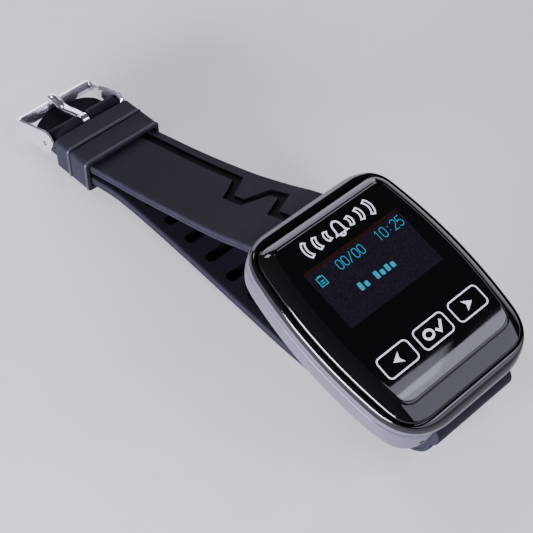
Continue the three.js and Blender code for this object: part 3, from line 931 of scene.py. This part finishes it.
# ---------------------------------------------------------------- materials
def new_material(name, colour, roughness, metallic=0.0, **sockets):
    material = bpy.data.materials.new(name)
    material.use_nodes = True
    shader = material.node_tree.nodes["Principled BSDF"]
    shader.inputs["Base Color"].default_value = (*colour, 1)
    shader.inputs["Roughness"].default_value = roughness
    shader.inputs["Metallic"].default_value = metallic
    for socket, value in sockets.items():
        shader.inputs[socket.replace("_", " ")].default_value = value
    return material, shader


def add_noise(material, scale, detail=3.0, stretch=(1, 1, 1), roughness=0.5):
    """A noise texture in the piece's own space; `scale` is per metre."""
    nodes, links = material.node_tree.nodes, material.node_tree.links
    place = nodes.new("ShaderNodeTexCoord")
    mapping = nodes.new("ShaderNodeMapping")
    mapping.inputs["Scale"].default_value = stretch
    noise = nodes.new("ShaderNodeTexNoise")
    noise.inputs["Scale"].default_value = scale
    noise.inputs["Detail"].default_value = detail
    noise.inputs["Roughness"].default_value = roughness
    links.new(place.outputs["Object"], mapping.inputs["Vector"])
    links.new(mapping.outputs["Vector"], noise.inputs["Vector"])
    return noise.outputs["Fac"]


def spread(material, source, low, high, start=0.3, end=0.7):
    """Maps a 0 to 1 signal between start and end onto low to high."""
    node = material.node_tree.nodes.new("ShaderNodeMapRange")
    node.inputs["From Min"].default_value = start
    node.inputs["From Max"].default_value = end
    node.inputs["To Min"].default_value = low
    node.inputs["To Max"].default_value = high
    material.node_tree.links.new(source, node.inputs["Value"])
    return node.outputs["Result"]


def tint(material, source, dark, light):
    ramp = material.node_tree.nodes.new("ShaderNodeValToRGB")
    ramp.color_ramp.elements[0].position = 0.3
    ramp.color_ramp.elements[0].color = (*dark, 1)
    ramp.color_ramp.elements[1].position = 0.7
    ramp.color_ramp.elements[1].color = (*light, 1)
    material.node_tree.links.new(source, ramp.inputs["Fac"])
    return ramp.outputs["Color"]


def bump(material, shader, source, depth, strength=1.0):
    """Raises the surface by up to `depth` millimetres where the signal is high."""
    node = material.node_tree.nodes.new("ShaderNodeBump")
    node.inputs["Strength"].default_value = strength
    node.inputs["Distance"].default_value = depth * MM
    previous = shader.inputs["Normal"].links
    if previous:
        material.node_tree.links.new(previous[0].from_socket, node.inputs["Normal"])
    material.node_tree.links.new(source, node.inputs["Height"])
    material.node_tree.links.new(node.outputs["Normal"], shader.inputs["Normal"])


def grained(name, dark, light, roughness, grain, depth, metallic=0.0, stretch=(1, 1, 1), **sockets):
    """A moulded or metal surface: fine grain in the bump, soft patches in colour and roughness."""
    material, shader = new_material(name, light, roughness, metallic, **sockets)
    links = material.node_tree.links
    patches = add_noise(material, 120, 4, stretch)
    links.new(tint(material, patches, dark, light), shader.inputs["Base Color"])
    links.new(spread(material, patches, roughness * 0.85, roughness * 1.15), shader.inputs["Roughness"])
    bump(material, shader, add_noise(material, grain, 3, stretch), depth)
    return material


def gloss_black():
    """Mirror-gloss moulding: faint finger marks in the roughness and a trace of moulding ripple."""
    material, shader = new_material("gloss_black", (0.0022, 0.0022, 0.0026), 0.05, IOR=1.5)
    smudges = add_noise(material, 140, 6, roughness=0.62)
    shine = spread(material, smudges, 0.03, 0.085, 0.35, 0.75)
    material.node_tree.links.new(shine, shader.inputs["Roughness"])
    bump(material, shader, add_noise(material, 120, 1), 0.004)
    return material


def satin_case():
    return grained("satin_case", (0.055, 0.051, 0.068), (0.072, 0.067, 0.089), 0.36, 5200, 0.006)


def strap_rubber():
    """Matte silicone rubber: soft patches of bloom and a fine mould grain."""
    material, shader = new_material("strap_rubber", (0.018, 0.018, 0.026), 0.5, Specular_IOR_Level=0.03)
    links = material.node_tree.links
    patches = add_noise(material, 420, 5)
    bloom = tint(material, patches, (0.015, 0.0146, 0.02), (0.019, 0.0184, 0.0255))
    links.new(bloom, shader.inputs["Base Color"])
    links.new(spread(material, patches, 0.44, 0.54), shader.inputs["Roughness"])
    bump(material, shader, add_noise(material, 4200, 4), 0.016)
    return material


def bead_highlight_rubber():
    """The same rubber where the mould was polished, and painted lighter as a highlight, so that an edge
    catches the light.
    """
    return grained("bead_highlight_rubber", (0.022, 0.021, 0.03), (0.032, 0.031, 0.043), 0.34, 2600, 0.001, IOR=1.42)


def shade_painted_rubber():
    """Near-black rough rubber inside the groove and slots: painted shade for the recesses, where hardly any
    light comes out again.
    """
    material, shader = new_material("shade_painted_rubber", (0.004, 0.004, 0.005), 0.85, Specular_IOR_Level=0.12)
    links = material.node_tree.links
    grain = add_noise(material, 3600, 4)
    shade = tint(material, grain, (0.002, 0.002, 0.003), (0.006, 0.006, 0.008))
    links.new(shade, shader.inputs["Base Color"])
    bump(material, shader, grain, 0.02)
    return material


def chrome():
    material, shader = new_material("chrome", (0.84, 0.83, 0.87), 0.1, 0.93)
    wipes = add_noise(material, 500, 4)
    material.node_tree.links.new(spread(material, wipes, 0.08, 0.16), shader.inputs["Roughness"])
    bump(material, shader, add_noise(material, 90, 1), 0.002)
    return material


def glowing_white_ink():
    material, shader = new_material("glowing_white_ink", (0.85, 0.85, 0.95), 0.5)
    # The print glows faintly by emission: a painted glow, as the ink is no lamp.
    shader.inputs["Emission Color"].default_value = (0.82, 0.82, 0.95, 1)
    shader.inputs["Emission Strength"].default_value = 0.5
    grain = add_noise(material, 5000, 2)
    material.node_tree.links.new(tint(material, grain, (0.74, 0.74, 0.84), (0.88, 0.88, 0.96)),
                                 shader.inputs["Base Color"])
    return material


def glowing_screen_glass(name, dark, light):
    """Dark display behind the lens: a fine grid of unlit dots under a clear gloss, given a faint emission of
    their own colour as a painted glow.
    """
    material, shader = new_material(name, light, 0.3, Coat_Weight=1.0, Coat_Roughness=0.04,
                                    Specular_IOR_Level=0.0)
    grain = add_noise(material, 2600, 2)
    colour = tint(material, grain, dark, light)
    links = material.node_tree.links
    links.new(colour, shader.inputs["Base Color"])
    links.new(colour, shader.inputs["Emission Color"])
    # Painted glow: the unlit dots give off a faint light of their own colour.
    shader.inputs["Emission Strength"].default_value = 0.25
    return material


def screen_light():
    """Lit dots of the display, slightly uneven from dot to dot."""
    material, shader = new_material("screen_light", (0.0, 0.05, 0.08), 0.3, Coat_Weight=1.0,
                                    Coat_Roughness=0.04)
    dots = add_noise(material, 3200, 1)
    material.node_tree.links.new(tint(material, dots, (0.0, 0.27, 0.42), (0.0, 0.42, 0.62)),
                                 shader.inputs["Emission Color"])
    shader.inputs["Emission Strength"].default_value = 1.0
    return material


def steel():
    return grained("steel", (0.42, 0.43, 0.45), (0.62, 0.62, 0.65), 0.3, 2600, 0.01, 1.0, (0.1, 1, 1))


def floor_material():
    """Pale paper sweep with a faint glow of its own, as if lit from all round."""
    return grained("floor", (0.8, 0.8, 0.81), (0.84, 0.84, 0.85), 0.75, 900, 0.01,
                   Emission_Color=(1, 1, 1, 1), Emission_Strength=0.28)


# What `grained` takes for each CAD node.
INNER_FINISHES = {
    "oled_display": ("display_glass", (0.014, 0.011, 0.016), (0.024, 0.019, 0.028), 0.1, 1800, 0.002),
    "touch_sensor": ("polyimide", (0.36, 0.2, 0.05), (0.5, 0.3, 0.09), 0.35, 2200, 0.004),
    "display_holder": ("holder_plastic", (0.05, 0.05, 0.055), (0.07, 0.07, 0.076), 0.5, 3600, 0.01),
    "main_pcb": ("solder_mask", (0.015, 0.12, 0.045), (0.03, 0.2, 0.08), 0.42, 1400, 0.02),
    "radio_shield": ("shield_tin", (0.5, 0.5, 0.5), (0.68, 0.68, 0.66), 0.32, 1900, 0.01, 1.0),
    "processor_chip": ("chip_resin", (0.02, 0.02, 0.021), (0.034, 0.034, 0.036), 0.6, 3800, 0.01),
    "battery": ("pouch_foil", (0.5, 0.5, 0.53), (0.66, 0.67, 0.7), 0.34, 1500, 0.02, 0.8),
    "antenna_coil": ("copper_wire", (0.55, 0.25, 0.1), (0.8, 0.42, 0.2), 0.3, 3000, 0.05, 1.0,
                     (12, 0.2, 0.2)),
    "case_gasket": ("seal_rubber", (0.03, 0.03, 0.031), (0.045, 0.045, 0.047), 0.7, 3000, 0.02),
    "charge_contact_left": ("gold", (0.72, 0.5, 0.18), (0.86, 0.64, 0.28), 0.22, 2400, 0.004, 1.0),
}


def inner_materials():
    """Finishes of the pieces sealed inside the case and of the contacts, by CAD node."""
    finishes = {node: grained(*finish) for node, finish in INNER_FINISHES.items()}
    finishes["vibration_motor"] = steel()
    return finishes


def dress(material, piece):
    piece.data.materials.clear()
    piece.data.materials.append(material)


def dress_nodes(materials):
    """Carried-over CAD nodes take their finish here."""
    metal = steel()
    for name, node in frame["nodes"].items():
        if name in materials:
            dress(materials[name], node)
        elif "screw" in name or "spring_bar" in name:
            dress(metal, node)
        elif name.startswith("charge_contact"):
            dress(materials["charge_contact_left"], node)


# ---------------------------------------------------------------- stage
CASE_CENTRE = Vector((0, -0.043, 0.024))


def soft_light(name, offset, size, radiance, colour, along=(1, 0, 0)):
    """A flat soft box facing the case from `offset`, its width running along the given direction."""
    light = bpy.data.lights.new(name, "AREA")
    light.shape = "RECTANGLE"
    light.size, light.size_y = size
    light.energy = radiance * math.pi * size[0] * size[1]
    light.color = colour
    lamp = bpy.data.objects.new(name, light)
    bpy.context.scene.collection.objects.link(lamp)
    outward = Vector(offset).normalized()
    across = (Vector(along) - outward * outward.dot(Vector(along))).normalized()
    turn = Matrix((across, outward.cross(across), outward)).transposed()
    lamp.matrix_world = Matrix.Translation(CASE_CENTRE + Vector(offset)) @ turn.to_4x4()


LILAC = (0.82, 0.84, 1.0)
WHITE = (0.95, 0.95, 1.0)
# What `soft_light` takes for each, with offsets and sizes in metres.
SOFT_LIGHTS = [
    ("front_box", (0.37, -0.302, 0.522), (0.34, 0.075), 7, LILAC),
    ("front_box_upper", (0.25, -0.245, 0.546), (0.2, 0.07), 4, LILAC, (1, -0.25, 0)),
    ("front_panel", (0.315, -0.48, 0.4), (0.6, 0.3), 3, LILAC),
    ("front_low", (0.315, -0.62, 0.13), (0.7, 0.24), 0.8, LILAC),
    ("back_panel", (0.3, 0.62, 0.17), (0.6, 0.36), 3.2, LILAC, (0.87, -0.46, 0)),
    ("left_bank", (-0.58, -0.06, 0.055), (0.5, 0.13), 95, LILAC, (0, 1, 0)),
    ("top_box", (-0.08, 0.58, 0.55), (0.2, 0.2), 8, WHITE),
]


def lights():
    for row in SOFT_LIGHTS:
        soft_light(*row)


def world():
    """Dim surroundings for reflections, and a pale one behind the floor."""
    sky = bpy.data.worlds.new("studio")
    sky.use_nodes = True
    bpy.context.scene.world = sky
    nodes, links = sky.node_tree.nodes, sky.node_tree.links
    nodes["Background"].inputs["Color"].default_value = (0.8, 0.8, 0.9, 1)
    nodes["Background"].inputs["Strength"].default_value = 0.08
    pale = nodes.new("ShaderNodeBackground")
    pale.inputs["Color"].default_value = (0.66, 0.66, 0.7, 1)
    path = nodes.new("ShaderNodeLightPath")
    mix = nodes.new("ShaderNodeMixShader")
    links.new(path.outputs["Is Camera Ray"], mix.inputs["Fac"])
    links.new(nodes["Background"].outputs["Background"], mix.inputs[1])
    links.new(pale.outputs["Background"], mix.inputs[2])
    links.new(mix.outputs["Shader"], nodes["World Output"].inputs["Surface"])


FLOOR_HALF = 3.0


def floor():
    half = FLOOR_HALF
    low = CAD_BOX[0][2]
    mesh = bpy.data.meshes.new("floor")
    corners = [(-half, -half, low), (half, -half, low), (half, half, low), (-half, half, low)]
    mesh.from_pydata(corners, [], [(0, 1, 2, 3)])
    ground = bpy.data.objects.new("floor", mesh)
    bpy.context.scene.collection.objects.link(ground)
    dress(floor_material(), ground)


CAMERA_LENS = 87.8
CAMERA_AZIMUTH = -43.51
CAMERA_ELEVATION = 47.64
# In the strap frame.
CAMERA_POINT = Vector((-124.8, -102.8, 203.4))


def camera():
    data = bpy.data.cameras.new("camera")
    data.lens = CAMERA_LENS
    data.sensor_width = 36
    data.clip_start = 0.01
    eye = bpy.data.objects.new("camera", data)
    bpy.context.scene.collection.objects.link(eye)
    azimuth, elevation = math.radians(CAMERA_AZIMUTH), math.radians(CAMERA_ELEVATION)
    eye.location = STRAP @ CAMERA_POINT
    eye.rotation_euler = (math.pi / 2 - elevation, 0, azimuth)
    bpy.context.scene.camera = eye


# ---------------------------------------------------------------- build
camera()
lights()
world()
floor()

gloss = gloss_black()
satin = satin_case()
rubber = strap_rubber()
painted_recess_shade = shade_painted_rubber()
bright = chrome()
ink_finish = glowing_white_ink()

bezel(gloss, satin)
lens(gloss)
mid_case(satin)
back_cover(satin)
screen(glowing_screen_glass("screen_dark", (0.006, 0.0038, 0.0078), (0.014, 0.0092, 0.0175)),
       glowing_screen_glass("screen_edge", (0.012, 0.003, 0.002), (0.026, 0.006, 0.004)))
screen_marks(screen_light())
call_pictogram(ink_finish)
key_prints(ink_finish)
buckle_strap(rubber, painted_recess_shade)
hole_strap(rubber, painted_recess_shade)
bead = bead_highlight_rubber()
keeper("fixed_keeper", BODY, rubber, bead)
keeper("sliding_keeper", "sliding_keeper", rubber, bead)
buckle_frame(bright)
buckle_tongue(bright)
buckle_pin(steel())
dress_nodes(inner_materials())
